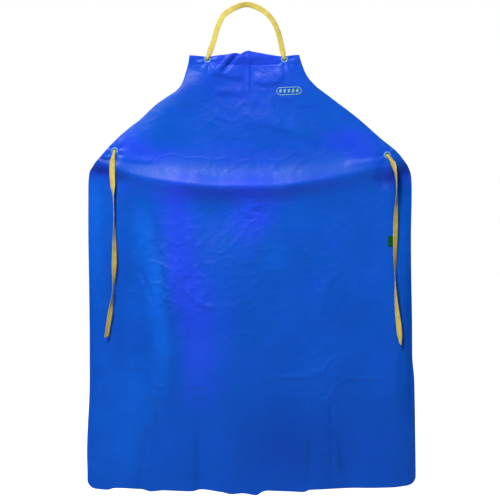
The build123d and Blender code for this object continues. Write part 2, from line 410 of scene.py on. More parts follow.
# Patches of sharp little creases: height, centre, reach across and up, size, seed and slant.
CRUMPLES = [
    (2.3, (-185, -745), (95, 120), 34, 2.0, -0.7),
    (2.3, (218, -1020), (60, 105), 30, 5.0, 0.6),
    (2.2, (-255, -1060), (55, 120), 34, 8.0, -1.0),
    (1.8, (20, -555), (60, 34), 22, 12.0, -0.3),
    (1.2, (40, -270), (170, 90), 34, 15.0, -0.5),
    (2.2, (250, -1200), (70, 70), 30, 19.0, 1.2),
    (1.0, (0, -760), (420, 480), 26, 33.0, 0.4),
]
# Gentle unevenness: height, size and seed.
SWELLS = [(2.4, 130, 23.0), (0.4, 38, 29.0)]
WELD_Z = -153.5
WELD_DEPTH = 0.9
WELD_REACH = 2.2


def creases(x, z):
    """Everything that stands forward of the hanging shape."""
    forward = sum(height * noise_field(x, z, size, seed) for height, size, seed in SWELLS)
    forward -= WELD_DEPTH * bell(z - WELD_Z, WELD_REACH) * smoothstep(-np.abs(x), -152, -140)
    for path, height, above, below, fade in FOLDS:
        forward += fold(x, z, path, height, above, below, fade)
    # Along the swag the sheet is stretched smooth.
    from_swag, _ = polyline_offset(x, z, smooth_path(SWAG, SWAG_STEPS))
    slack = 1 - 0.85 * bell(from_swag + 12, 34)
    for height, centre, reach, size, seed, slant in CRUMPLES:
        forward += slack * height * crumple(x, z, centre, reach, size, seed, slant)
    return forward


HELD_RADIUS = 10.5              # the sheet is flat under an eyelet's flange
CREASES_RADIUS, HANG_RADIUS = 30, 42  # where its creases and its hang have their full size
# Pleats round each eyelet: centre, height, reach, how many, and how far they are turned.
GATHERS = [
    (TOP_LEFT, 1.9, 24, 7, 0.4),
    (TOP_RIGHT, 1.7, 22, 7, 1.9),
    (WAIST_LEFT, 1.7, 30, 6, 0.3),
    (WAIST_RIGHT, 1.7, 30, 6, 2.2),
]


def sheet_y(x, z):
    """Where the middle of the sheet's thickness lies, front to back."""
    forward = creases(x, z) * (1 - near_eyelets(x, z, HELD_RADIUS, CREASES_RADIUS))
    for centre, height, reach, count, turn in GATHERS:
        forward = forward + gathers(x, z, centre, height, reach, count, turn)
    behind = hang(x, z) * (1 - near_eyelets(x, z, HELD_RADIUS, HANG_RADIUS))
    behind = behind + edge_curl(x, z)
    return SHEET_Y + behind - forward


SIDE_CURL, SIDE_CURL_WIDTH = 3.5, 26
ARMHOLE_CURL, ARMHOLE_CURL_WIDTH = 0.8, 14


def edge_curl(x, z):
    """The free side edges and armholes roll back a little."""
    inward = np.minimum(x - left_edge(z), right_edge(z) - x)
    skirt = smoothstep(-z, 470, 900)
    armhole = smoothstep(-z, 150, 200) * smoothstep(z, -440, -380)
    roll = SIDE_CURL * skirt * np.clip(1 - inward / SIDE_CURL_WIDTH, 0, 1) ** 2
    return roll + ARMHOLE_CURL * armhole * np.clip(1 - inward / ARMHOLE_CURL_WIDTH, 0, 1) ** 2


# ---------------- the sheet itself
ROW_STEP, FINE_ROW_STEP = 3.6, 1.6
FINE_TOP_Z = -156               # rows above this, and those round an eyelet, are the fine ones
FINE_REACH = 13
RIM_INNER, RIM_OUTER = 1.4, 0.7  # how near a hole's rim a point lies to be moved onto it
COLUMNS = 247
CROWDING = 0.45                 # how much closer the columns are towards the sides
# Where the level rows turn into the shape of the bottom edge, measured down from the origin,
# and of the top edge, measured up.
BOTTOM_DRAWN, TOP_DRAWN = (1180, 1300), (-150, TOP_Z)


def level_rows():
    """Heights of the grid's rows, closer together round the eyelets and at the top."""
    rows = [TOP_Z]
    while rows[-1] > BOTTOM_Z:
        z = rows[-1]
        fine = z > FINE_TOP_Z or any(abs(z - centre[2]) < FINE_REACH for centre in EYELETS)
        rows.append(z - (FINE_ROW_STEP if fine else ROW_STEP))
    rows[-1] = BOTTOM_Z
    return np.array(rows)


def column_shares():
    """Shares across the width of the grid's columns."""
    t = np.linspace(0, 1, COLUMNS)
    return t - CROWDING * np.sin(2 * math.pi * t) / (2 * math.pi)


def grid_points(rows, shares):
    """X and Z of the grid before it is given its relief: the sheet's outline, filled in."""
    share, z = np.meshgrid(shares, rows)
    left, right = left_edge(z), right_edge(z)
    x = left + (right - left) * share
    round_low = np.clip((BOTTOM_Z + CORNER_RADIUS - z) / CORNER_RADIUS, 0, 1)
    inset = CORNER_RADIUS * (1 - np.sqrt(1 - round_low**2))
    x = x + inset * (1 - 2 * share)
    low = smoothstep(-z, *BOTTOM_DRAWN)
    high = smoothstep(z, *TOP_DRAWN)
    z = z + (bottom_edge(x) - BOTTOM_Z) * low + (top_edge(x) - TOP_Z) * high
    return x, z


def round_holes(x, z):
    """Move the points next to the rim of an eyelet's hole onto it, and mark those inside."""
    inside = np.zeros(x.shape, bool)
    for centre in EYELETS:
        dx, dz = x - centre[0], z - centre[2]
        radius = np.maximum(np.hypot(dx, dz), 1e-6)
        within = radius < HOLE_RADIUS - RIM_INNER
        inside |= within
        rim = ~within & (radius < HOLE_RADIUS + RIM_OUTER)
        x = np.where(rim, centre[0] + dx / radius * HOLE_RADIUS, x)
        z = np.where(rim, centre[2] + dz / radius * HOLE_RADIUS, z)
    return x, z, inside


def surface_normals(x, y, z):
    """Unit normals of a grid surface that point out of its front."""
    du = np.stack([np.gradient(v, axis=1) for v in (x, y, z)], -1)
    dv = np.stack([np.gradient(v, axis=0) for v in (x, y, z)], -1)
    normal = unit(np.cross(dv, du))
    return np.where(normal[..., 1:2] > 0, -normal, normal)


def two_sided(name, x, y, z, thickness, material, inside=None, ring=False):
    """A closed sheet of even thickness round a grid surface, open where inside marks a hole.
    A ring's last column joins its first."""
    rows, columns = x.shape
    normal = surface_normals(x, y, z)
    centre = np.stack([x, y, z], -1)
    front = (centre + normal * thickness / 2).reshape(-1, 3)
    back = (centre - normal * thickness / 2).reshape(-1, 3)
    count = rows * columns
    index = np.arange(count).reshape(rows, columns)
    if ring:
        index = np.hstack([index, index[:, :1]])
    corners = [index[:-1, :-1], index[1:, :-1], index[1:, 1:], index[:-1, 1:]]
    quads = np.stack(corners, -1).reshape(-1, 4)
    if inside is not None:
        quads = quads[~inside.ravel()[quads].any(axis=1)]
    # An edge that only one quad has is on the rim, where front and back are joined.
    edges = {}
    for quad in quads.tolist():
        edges.update(dict.fromkeys(zip(quad, quad[1:] + quad[:1])))
    rim = [(b, a, a + count, b + count) for a, b in edges if (b, a) not in edges]
    faces = quads.tolist() + (quads[:, ::-1] + count).tolist() + rim
    used = np.unique([quads, quads + count])
    renumber = np.full(2 * count, -1)
    renumber[used] = np.arange(len(used))
    points = np.concatenate([front, back])[used]
    faces = [[int(renumber[v]) for v in face] for face in faces]
    piece = new_mesh(name, points, faces, material)
    flat = np.stack([x, z], -1).reshape(-1, 2)
    set_uv(piece, np.concatenate([flat, flat])[used])
    return piece


def point_normals_outward(piece):
    """Make every face of a closed piece point out of it."""
    work = bmesh.new()
    work.from_mesh(piece.data)
    bmesh.ops.recalc_face_normals(work, faces=work.faces)
    work.to_mesh(piece.data)
    work.free()


# ---------------- materials
class Shader:
    """A material's node tree with short ways to add and join nodes."""

    def __init__(self, name):
        self.material = bpy.data.materials.new(name)
        self.material.use_nodes = True
        self.nodes = self.material.node_tree.nodes
        self.links = self.material.node_tree.links
        self.surface = self.nodes["Principled BSDF"]

    def feed(self, socket, value):
        """Set a socket to a constant, or join another node's output to it."""
        if isinstance(value, (int, float, tuple)):
            socket.default_value = value
        else:
            self.links.new(value, socket)

    def add(self, kind, inputs, **settings):
        """A node with its inputs fed and its settings made."""
        node = self.nodes.new(kind)
        for key, value in settings.items():
            setattr(node, key, value)
        for key, value in inputs.items():
            self.feed(node.inputs[key], value)
        return node

    def flat_coordinates(self, scale):
        """The piece's flat coordinates in metres, stretched by scale."""
        source = self.add("ShaderNodeUVMap", {}, uv_map="flat").outputs["UV"]
        inputs = {"Vector": source, "Scale": scale}
        return self.add("ShaderNodeMapping", inputs).outputs["Vector"]

    def object_coordinates(self):
        return self.add("ShaderNodeTexCoord", {}).outputs["Object"]

    def painted(self, name):
        """An amount stored at the piece's vertices."""
        return self.add("ShaderNodeAttribute", {}, attribute_name=name).outputs["Fac"]

    def noise(self, vector, scale, detail=3.0, roughness=0.5, output="Fac"):
        inputs = {"Vector": vector, "Scale": scale, "Detail": detail, "Roughness": roughness}
        return self.add("ShaderNodeTexNoise", inputs).outputs[output]

    def threads(self, vector, direction, scale, distortion, detail_scale=1.0):
        """Soft parallel threads, a little uneven."""
        inputs = {"Vector": vector, "Scale": scale, "Distortion": distortion}
        inputs["Detail Scale"] = detail_scale
        return self.add("ShaderNodeTexWave", inputs, bands_direction=direction).outputs["Fac"]

    def ramp(self, value, stops):
        """Turn a value into a colour through (position, colour) stops."""
        node = self.add("ShaderNodeValToRGB", {"Fac": value})
        ramp = node.color_ramp
        while len(ramp.elements) < len(stops):
            ramp.elements.new(0.5)
        for element, (position, colour) in zip(ramp.elements, stops):
            element.position = position
            element.color = (*colour, 1)
        return node.outputs["Color"]

    def span(self, value, low, high, from_low=0.0, from_high=1.0):
        """Stretch a value to lie between low and high."""
        inputs = {0: value, 1: from_low, 2: from_high, 3: low, 4: high}
        return self.add("ShaderNodeMapRange", inputs).outputs["Result"]

    def warped(self, vector, scale, amount):
        """The same coordinates pushed about by noise."""
        push = self.noise(vector, scale, output="Color")
        inputs = {0: push, 1: (amount, amount, amount), 2: vector}
        node = self.add("ShaderNodeVectorMath", inputs, operation="MULTIPLY_ADD")
        return node.outputs["Vector"]

    def cell_edges(self, vector, scale, width):
        """One along the borders of irregular cells, falling to nothing within width."""
        inputs = {"Vector": vector, "Scale": scale}
        node = self.add("ShaderNodeTexVoronoi", inputs, feature="DISTANCE_TO_EDGE")
        return self.span(node.outputs["Distance"], 1.0, 0.0, 0.0, width)

    def math(self, operation, a, b):
        return self.add("ShaderNodeMath", {0: a, 1: b}, operation=operation).outputs[0]

    def mix(self, share, colour_a, colour_b):
        """One colour turning into another. The node's colour sockets are inputs 6 and 7, and
        output 2."""
        inputs = {0: share}
        for socket, colour in ((6, colour_a), (7, colour_b)):
            inputs[socket] = (*colour, 1) if isinstance(colour, tuple) else colour
        return self.add("ShaderNodeMix", inputs, data_type="RGBA").outputs[2]

    def bump(self, height, distance, strength=1.0, below=None):
        inputs = {"Height": height, "Distance": distance, "Strength": strength}
        if below is not None:
            inputs["Normal"] = below
        return self.add("ShaderNodeBump", inputs).outputs["Normal"]

    def set(self, **values):
        for key, value in values.items():
            self.feed(self.surface.inputs[key.replace("_", " ")], value)


def sheet_material():
    """Soft glossy coated sheet: deep blue, more violet or paler in places with painted sheen and
    painted highlight, darkened by painted shade, finely pebbled.
    """
    s = Shader("apron_sheet")
    at = s.flat_coordinates((1, 1, 1))
    cloudy = s.noise(at, 9.0, 4.0, 0.6)
    cool = s.ramp(cloudy, [(0.30, (0.0008, 0.093, 0.610)), (0.70, (0.0014, 0.105, 0.690))])
    warm = s.ramp(cloudy, [(0.30, (0.0100, 0.072, 0.850)), (0.70, (0.0200, 0.084, 0.960))])
    pale = s.ramp(cloudy, [(0.30, (0.0020, 0.135, 0.800)), (0.70, (0.0030, 0.160, 0.900))])
    mottle = s.span(s.noise(at, 14.0, 5.0, 0.65), -0.16, 0.16, 0.3, 0.7)
    # The tint-and-highlight patches bring in violet tint with painted sheen, and pale painted
    # highlight.
    mottled = s.math("ADD", s.painted("tint_and_highlight"), mottle)
    colour = s.mix(s.span(mottled, 0.0, 1.0), cool, warm)
    colour = s.mix(s.span(mottled, 0.0, 1.0, -0.1, -1.0), colour, pale)
    # Painted shade: the shade patches darken the colour towards deep navy.
    colour = s.mix(s.painted("shade"), colour, (0.002, 0.018, 0.260))
    scuffs = s.noise(s.flat_coordinates((40, 9, 1)), 4.0, 6.0, 0.7)
    scuffed = s.span(scuffs, 0.0, 0.10, 0.62, 0.80)
    colour = s.mix(scuffed, colour, (0.010, 0.125, 0.660))
    skin = s.noise(at, 900.0, 2.0, 0.55)
    swell = s.noise(at, 42.0, 3.0, 0.5)
    rough = s.span(s.noise(at, 26.0, 5.0, 0.6), 0.33, 0.46, 0.3, 0.7)
    s.set(Base_Color=colour, Roughness=rough, Specular_IOR_Level=0.18)
    large = s.cell_edges(s.warped(s.flat_coordinates((1.0, 0.7, 1)), 16.0, 0.05), 17.0, 0.30)
    small = s.cell_edges(s.warped(s.flat_coordinates((0.8, 1.2, 1)), 30.0, 0.03), 44.0, 0.34)
    wrinkled = s.math("ADD", large, s.math("MULTIPLY", small, 0.5))
    wrinkled = s.math("MULTIPLY", wrinkled, s.painted("crushed"))
    uneven = s.bump(wrinkled, 0.0018, 0.6, s.bump(swell, 0.0009, 0.35))
    s.set(Normal=s.bump(skin, 0.00004, 0.6, uneven))
    return s.material


def plastic_material():
    """Moulded eyelet plastic, a little lighter and shinier than the sheet."""
    s = Shader("eyelet_plastic")
    at = s.object_coordinates()
    cloudy = s.noise(at, 260.0, 3.0, 0.5)
    colour = s.ramp(cloudy, [(0.3, (0.090, 0.300, 0.700)), (0.7, (0.150, 0.400, 0.840))])
    s.set(Base_Color=colour, Roughness=s.span(s.noise(at, 700.0), 0.22, 0.36, 0.3, 0.7))
    s.set(Coat_Weight=0.25, Coat_Roughness=0.18)
    s.set(Normal=s.bump(s.noise(at, 1500.0, 2.0), 0.00003, 0.5))
    return s.material


def tape_material():
    """Woven cotton tape: yellow warp threads crossed by weft, with slight fading."""
    s = Shader("woven_tape")
    at = s.flat_coordinates((1, 1, 1))
    warp = s.threads(at, "X", 340.0, 1.2, 1.5)
    weft = s.threads(at, "Y", 250.0, 1.2, 1.5)
    ribs = s.math("ADD", s.math("MULTIPLY", warp, weft), s.math("MULTIPLY", weft, 0.5))
    faded = s.noise(at, 60.0, 4.0, 0.6)
    thread = s.ramp(faded, [
        (0.30, (0.66, 0.52, 0.08)),
        (0.52, (0.75, 0.61, 0.13)),
        (0.72, (0.82, 0.72, 0.23)),
    ])
    gaps = s.span(ribs, 0.30, 0.0, 0.05, 0.75)
    colour = s.mix(gaps, thread, (0.62, 0.47, 0.09))
    fuzz = s.noise(at, 2600.0, 2.0, 0.7)
    s.set(Base_Color=colour, Roughness=s.span(fuzz, 0.78, 0.95))
    s.set(Specular_IOR_Level=0.25, Sheen_Weight=0.15, Sheen_Roughness=0.45)
    s.set(Normal=s.bump(fuzz, 0.00006, 0.4, s.bump(ribs, 0.00025, 0.6)))
    return s.material


def ink_material():
    """Pale green badge print with a slightly worn film."""
    s = Shader("badge_ink")
    at = s.object_coordinates()
    worn = s.noise(at, 420.0, 5.0, 0.7)
    colour = s.ramp(worn, [
        (0.35, (0.16, 0.42, 0.36)),
        (0.60, (0.30, 0.62, 0.46)),
        (0.75, (0.38, 0.70, 0.50)),
    ])
    s.set(Base_Color=colour, Roughness=s.span(worn, 0.3, 0.55))
    s.set(Normal=s.bump(worn, 0.00005, 0.5))
    return s.material


def label_material():
    """Dark green woven label."""
    s = Shader("label_cloth")
    at = s.flat_coordinates((1, 1, 1))
    rows = s.threads(at, "Y", 420.0, 0.6)
    colour = s.mix(rows, (0.001, 0.055, 0.006), (0.004, 0.150, 0.020))
    s.set(Base_Color=colour, Roughness=s.span(s.noise(at, 800.0), 0.6, 0.8))
    s.set(Specular_IOR_Level=0.1)
    s.set(Normal=s.bump(rows, 0.00015, 0.8))
    return s.material


def floor_material():
    """Plain pale floor, which the camera sees as white."""
    s = Shader("pale_floor")
    grain = s.noise(s.object_coordinates(), 3.0, 4.0)
    seen = s.add("ShaderNodeLightPath", {}).outputs["Is Camera Ray"]
    colour = s.ramp(grain, [(0.3, (0.56, 0.56, 0.56)), (0.7, (0.60, 0.60, 0.60))])
    s.set(Base_Color=colour, Roughness=0.9)
    s.set(Specular_IOR_Level=0.0, Emission_Color=(1.0, 1.0, 1.0, 1.0), Emission_Strength=seen)
    return s.material


SHEET = sheet_material()
PLASTIC = plastic_material()
TAPE = tape_material()
INK = ink_material()
LABEL = label_material()


# ---------------- tapes
TAPE_WIDTH = 15.0
TAPE_THICKNESS = 1.1
SELVEDGE = 0.18                 # how much thicker the tape is along its edges
SECTION_POINTS = 13
FOLDED_CURL = 3.9               # radians that the tape's section curls inside an eyelet
NECK_CURL, TIE_CURL = 0.25, 0.35
# Distances walked between which the folded tape opens, and the lengths over which a tape's end
# narrows, curls and slants.
NECK_OPENS, TIE_OPENS = (10, 30), (12, 48)
END_NARROWS, END_CURLS, END_SLANTS = 26, 60, 30
# How the neck loop's legs lean and how it turns over the hook, in degrees.
LEG_LEAN, HOOK_TURN = -16.0, 40.0
HOOK_SHARE, HOOK_REACH = 0.49, 45
NECK_LEVEL = (118, 136)         # how far down it turns face on, towards its eyelets
# Each tape's route, in metres: through its eyelet, and then the points that part.py gives it.
NECK_ROUTE = [
    (-0.104, 0.008, -0.14), (-0.104, 0.003, -0.14), (-0.104, -0.0005, -0.1385),
    (-0.099, 0.0, -0.1253), (-0.0865, 0.0, -0.091), (-0.077, 0.0, -0.054), (-0.062, 0.0, -0.021),
    (-0.034, 0.0, -0.003), (0.0, 0.0, 0.0102), (0.033, 0.0, -0.001), (0.061, 0.0, -0.0195),
    (0.082, 0.0, -0.052), (0.0925, 0.0, -0.088), (0.1, 0.0, -0.1253), (0.104, -0.0005, -0.1385),
    (0.104, 0.003, -0.14), (0.104, 0.008, -0.14),
]
LEFT_TIE_ROUTE = [
    (-0.3544, 0.008, -0.3873), (-0.3544, 0.001, -0.3873), (-0.3544, -0.0049, -0.39),
    (-0.3605, -0.0049, -0.425), (-0.359, -0.0049, -0.48), (-0.3555, -0.0049, -0.54),
    (-0.3545, -0.0049, -0.6), (-0.354, -0.0049, -0.66), (-0.3545, -0.0049, -0.715),
    (-0.3585, -0.0049, -0.768), (-0.3645, -0.0049, -0.818), (-0.3705, -0.0049, -0.858),
    (-0.3755, -0.0049, -0.889),
]
RIGHT_TIE_ROUTE = [
    (0.3811, 0.008, -0.3983), (0.3811, 0.001, -0.3983), (0.3825, -0.0049, -0.401),
    (0.398, -0.0049, -0.424), (0.4055, -0.0049, -0.465), (0.4045, -0.0049, -0.52),
    (0.4025, -0.0049, -0.58), (0.401, -0.0049, -0.64), (0.4005, -0.0049, -0.7),
    (0.401, -0.0049, -0.755), (0.4045, -0.0049, -0.81), (0.4125, -0.0049, -0.866),
    (0.4145, -0.0049, -0.907),
]


def route_points(name, route):
    """Points, in millimetres, along the smooth line that a route's points control."""
    curve = bpy.data.curves.new(name, "CURVE")
    curve.dimensions = "3D"
    spline = curve.splines.new("NURBS")
    spline.points.add(len(route) - 1)
    for point, place in zip(spline.points, route):
        point.co = (*place, 1)
    spline.order_u = 3
    spline.use_endpoint_u = True
    spline.resolution_u = 20
    holder = bpy.data.objects.new(name, curve)
    mesh = bpy.data.meshes.new_from_object(holder)
    points = np.array([v.co for v in mesh.vertices]) / MM
    bpy.data.objects.remove(holder)
    bpy.data.curves.remove(curve)
    bpy.data.meshes.remove(mesh)
    return points


def ribbon(name, points, width, cup, turn, side, skew=0.0):
    """A flat woven tape along points. width, cup (how far its section curls, in radians) and
    turn (its twist, in degrees) are curves of the distance walked; side gives the direction of
    its width before it is turned, and skew slants its cut end."""
    walked = walked_along(points)
    tangents = unit(np.gradient(points, walked, axis=0))
    across = np.linspace(-1, 1, SECTION_POINTS)
    selvedge = 1 + SELVEDGE * across**4
    thick = TAPE_THICKNESS / 2 * np.sqrt(np.clip(1.06 - across**6, 0.1, 1)) * selvedge
    section_u = np.concatenate([across, across[::-1]])
    section_t = np.concatenate([thick, -thick[::-1]])
    rings, flat = [], []
    for place, tangent, s in zip(points, tangents, walked):
        base = side(place, tangent)
        base = unit(base - tangent * (base @ tangent))
        other = np.cross(tangent, base)
        angle = math.radians(float(turn(s)))
        along_width = math.cos(angle) * base + math.sin(angle) * other
        normal = np.cross(tangent, along_width)
        half = float(width(s)) / 2
        bend = float(cup(s))
        radius = 2 * half / bend
        theta = section_u * bend / 2
        radial = radius - section_t
        u = radial * np.sin(theta)
        v = radius * (1 - math.cos(bend / 2)) / 2 - (radius - radial * np.cos(theta))
        slant = skew * section_u * smoothstep(s, walked[-1] - END_SLANTS, walked[-1])
        ring = place + np.outer(u, along_width) - np.outer(v, normal)
        rings.append(ring + np.outer(slant, tangent))
        flat.append(np.stack([section_u * half, np.full(len(section_u), s)], -1))
    count = len(section_u)
    faces = skin_faces(len(points), count, closed=False)
    faces.append(tuple(range(count))[::-1])
    faces.append(tuple(range((len(points) - 1) * count, len(points) * count)))
    piece = new_mesh(name, np.concatenate(rings), faces, TAPE)
    set_uv(piece, np.concatenate(flat))
    point_normals_outward(piece)
    return piece


def thin_out(points, spacing):
    """Drop points that crowd each other closer than spacing."""
    kept = [points[0]]
    for point in points[1:-1]:
        if np.linalg.norm(point - kept[-1]) >= spacing:
            kept.append(point)
    kept.append(points[-1])
    return np.array(kept)


def full_width(s):
    return TAPE_WIDTH


def level(place, tangent):
    """The direction across the picture, for tapes that hang face on."""
    return np.array([1.0, 0.0, 0.0])


def make_neck_tape(points):
    """The neck loop, from inside the left eyelet over the hook and into the right one."""
    length = walked_along(points)[-1]
    opened = NECK_OPENS[1]

    def cup(s):
        end = min(s, length - s)
        return FOLDED_CURL * (1 - smoothstep(end, *NECK_OPENS)) + NECK_CURL

    def turn(s):
        end = min(s, length - s)
        over_hook = bell(s - HOOK_SHARE * length, HOOK_REACH)
        return LEG_LEAN * smoothstep(end, opened, 2 * opened) + HOOK_TURN * over_hook

    def side(place, tangent):
        inward = np.cross((0.0, 1.0, 0.0), tangent)
        share = smoothstep(-place[2], *NECK_LEVEL)
        sign = 1 if place[0] < 0 else -1
        return inward * (1 - share) + sign * level(place, tangent) * share

    return ribbon("neck_loop_tape", points, full_width, cup, turn, side)


def make_tie(name, points, turns, cup_end, skew, narrow_end):
    """A waist tie: out of its eyelet, over and down, twisting as it hangs to its cut end. turns
    are pairs of a distance walked and a twist in degrees."""
    length = walked_along(points)[-1]
    turning = through(turns)

    def width(s):
        near_end = smoothstep(s, length - END_NARROWS, length)
        return TAPE_WIDTH * (1 - (1 - narrow_end) * near_end)

    def cup(s):
        eased = FOLDED_CURL * (1 - smoothstep(s, *TIE_OPENS))
        return -eased - TIE_CURL - cup_end * smoothstep(s, length - END_CURLS, length)

    return ribbon(name, points, width, cup, turning, level, skew)


NECK_SPACING, TIE_SPACING = 1.3, 1.5
neck_points = thin_out(route_points("neck_route", NECK_ROUTE), NECK_SPACING)
left_tie_points = thin_out(route_points("left_tie_route", LEFT_TIE_ROUTE), TIE_SPACING)
right_tie_points = thin_out(route_points("right_tie_route", RIGHT_TIE_ROUTE), TIE_SPACING)
neck_tape = make_neck_tape(neck_points)
left_tie = make_tie(
    "left_waist_tie", left_tie_points,
    [(0, 0), (57, 0), (100, 25), (132, 74), (200, 93), (312, 142), (392, 92), (455, 140),
     (520, 128)],
    cup_end=0.2, skew=2.0, narrow_end=1.0,
)
right_tie = make_tie(
    "right_waist_tie", right_tie_points,
    [(0, 0), (32, 20), (58, 66), (90, 90), (125, 104), (164, 136), (210, 152), (272, 138),
     (360, 90), (425, 54), (470, 28), (530, 20)],
    cup_end=0.9, skew=5.0, narrow_end=0.45,
)


# ---------------- knots
KNOT_Y = 11.6                   # where the knots' middles lie, front to back
KNOT_SCALE = (2.02, 2.70, 2.35)
STRAND_WIDTH = 5.6
STRAND_DEPTH = 3.2
STRAND_STEPS = 150
STRAND_AROUND = 18


def full_turn(count):
    """Angles evenly spaced round a circle."""
    return np.linspace(0, 2 * math.pi, count, endpoint=False)


def knot_strand():
    """A closed three-lobed strand, the shape that a tape takes in an overhand knot."""
    t = full_turn(STRAND_STEPS)
    x = np.sin(t) + 2 * np.sin(2 * t)
    z = np.cos(t) - 2 * np.cos(2 * t)
    y = -np.sin(3 * t)
    return np.stack([x, y, z], -1) * KNOT_SCALE


def make_knot(name, eyelet, lean):
    """A tape knot drawn up against the back of its eyelet."""
    line = knot_strand()
    count = len(line)
    tangents = unit(np.roll(line, -1, axis=0) - np.roll(line, 1, axis=0))
    around = full_turn(STRAND_AROUND)
    tucks = 1 + 0.10 * np.cos(3 * around) + 0.05 * np.cos(7 * around + 1)
    rings, flat = [], []
    for k in range(count):
        out = line[k] * (1, 0.2, 1)
        out = unit(out - tangents[k] * (out @ tangents[k]))
        up = np.cross(tangents[k], out)
        swell = 1 + 0.12 * math.sin(5 * 2 * math.pi * k / count + lean)
        u = STRAND_DEPTH / 2 * np.cos(around) * tucks * swell
        v = STRAND_WIDTH / 2 * np.sin(around) * tucks
        rings.append(line[k] + np.outer(u, out) + np.outer(v, up))
        flat.append(np.stack([TAPE_WIDTH * around / 6.3, np.full(len(around), 0.5 * k)], -1))
    faces = skin_faces(count, len(around), closed=True)
    centre = (eyelet[0], KNOT_Y, eyelet[2])
    spin = np.array(Matrix.Rotation(lean, 3, "Y"))
    piece = new_mesh(name, np.concatenate(rings) @ spin.T + centre, faces, TAPE)
    set_uv(piece, np.concatenate(flat))
    point_normals_outward(piece)
    return piece


def make_tail(name, eyelet, lean):
    """The short cut end that hangs out of a knot."""
    x, z = eyelet[0], eyelet[2]
    fall = np.linspace(0, 1, 22)
    points = np.stack([
        x + 9 * lean * fall**1.4,
        KNOT_Y + 1.5 + 1.8 * np.sin(fall * 2.6),
        z - 2 - 29 * fall,
    ], -1)

    def width(s):
        return 8.0 + 5.0 * smoothstep(s, 4, 20)

    def cup(s):
        return 2.6 * (1 - smoothstep(s, 2, 22)) + 0.5

    def turn(s):
        return 14 * lean + 0.5 * s

    return ribbon(name, points, width, cup, turn, level, skew=1.5)


knots, tails = {}, {}
for eyelet, name, lean in zip(EYELETS, EYELET_NAMES, (0.5, -0.7, 0.3, -0.4)):
    knots[name] = make_knot(name + "_knot_strand", eyelet, lean)
    tails[name] = make_tail(name + "_knot_tail", eyelet, lean)


# ---------------- sheet, hem, backings and marks
HEM_LOW_Z = -152.0
HEM_INSET = 0.6                 # how far the hem strip stops short of the sheet's edges
HEM_GAP = 0.62                  # between the middles of the sheet and of its hem or a backing
BACKING_RADIUS = 14.5
PRINT_THICKNESS = 0.16
PRINT_GAP = 0.02                # between the sheet and the badge's print
LABEL_THICKNESS = 0.45
# Where the blue turns violet, part tint and part painted sheen on the lit bib, pull lines and
# swag, or pale where the amount is below nothing, painted highlight on the skirt's lit folds and
# sides: centre across and up, reach across and up, and how much.
TINT_AND_HIGHLIGHT_PATCHES = [
    (-187, -560, 46, 100, 0.85), (-178, -710, 50, 125, 0.95), (-125, -840, 70, 120, 0.75),
    (-130, -990, 60, 90, 0.5), (22, -560, 66, 82, 1.0), (-80, -500, 230, 22, 0.5),
    (0, -468, 280, 24, 0.45), (-313, -371, 48, 34, 0.9), (275, -355, 70, 36, 0.9),
    (330, -400, 50, 30, 0.6), (0, -400, 210, 34, 0.45), (-10, -270, 130, 90, 0.35),
    (-395, -440, 45, 24, 0.9), (405, -455, 45, 30, 0.9), (-395, -395, 36, 20, 0.4),
    (0, -175, 150, 60, 0.60), (0, -134, 170, 20, 0.9), (-250, -400, 80, 26, 0.5),
    (-275, -620, 34, 80, -0.75), (-242, -745, 28, 90, -0.95), (-222, -885, 30, 100, -0.8),
    (-412, -590, 26, 190, -0.5), (80, -660, 45, 90, -0.45), (425, -620, 26, 240, -0.4),
    (-340, -1190, 110, 170, -0.45), (-300, -1000, 120, 90, -0.3),
]
# Painted shade, darkening the colour under the waist folds, over the bib and hem and low on the
# skirt, in the same terms.
SHADE_PATCHES = [
    (-392, -438, 36, 15, 0.75), (-345, -458, 36, 14, 0.35), (-384, -411, 26, 6, 0.5),
    (425, -440, 30, 22, 0.65), (388, -462, 30, 22, 0.65), (100, -1190, 150, 110, 0.22),
    (280, -1160, 120, 120, 0.14), (0, -236, 190, 90, 0.13), (60, -400, 170, 22, 0.10),
    (80, -1150, 70, 100, 0.12), (0, -195, 110, 50, 0.08), (-172, -188, 40, 40, 0.18),
    (0, -138, 180, 13, 0.22),
]
# Where the sheet is finely crushed, in the same terms.
CRUSHED_PATCHES = [
    (0, -700, 500, 800, 0.16), (-185, -760, 90, 110, 0.9), (215, -1020, 60, 110, 1.0),
    (-255, -1070, 60, 120, 0.6), (15, -560, 70, 40, 0.8), (40, -290, 160, 80, 0.2),
    (0, -165, 150, 40, 0.5), (250, -1210, 80, 80, 0.5), (-20, -1240, 120, 60, 0.5),
    (110, -1000, 100, 20, 0.5), (0, -450, 330, 45, -0.40), (300, -740, 60, 80, 0.3),
]


def make_sheet():
    """The apron's one sheet, from its top edge to its bottom one."""
    x, z = grid_points(level_rows(), column_shares())
    x, z, inside = round_holes(x, z)
    return two_sided("apron_sheet", x, sheet_y(x, z), z, SHEET_THICKNESS, SHEET, inside)


def paint(piece, name, patches):
    """Store the sum of soft patches at each vertex, for the material to read by name."""
    places = np.empty(len(piece.data.vertices) * 3)
    piece.data.vertices.foreach_get("co", places)
    x, _, z = places.reshape(-1, 3).T / MM
    total = np.zeros(len(x))
    for centre_x, centre_z, reach_x, reach_z, amount in patches:
        total += amount * bell(x - centre_x, reach_x) * bell(z - centre_z, reach_z)
    layer = piece.data.attributes.new(name, "FLOAT", "POINT")
    layer.data.foreach_set("value", np.clip(total, -1, 1).astype(np.float32))


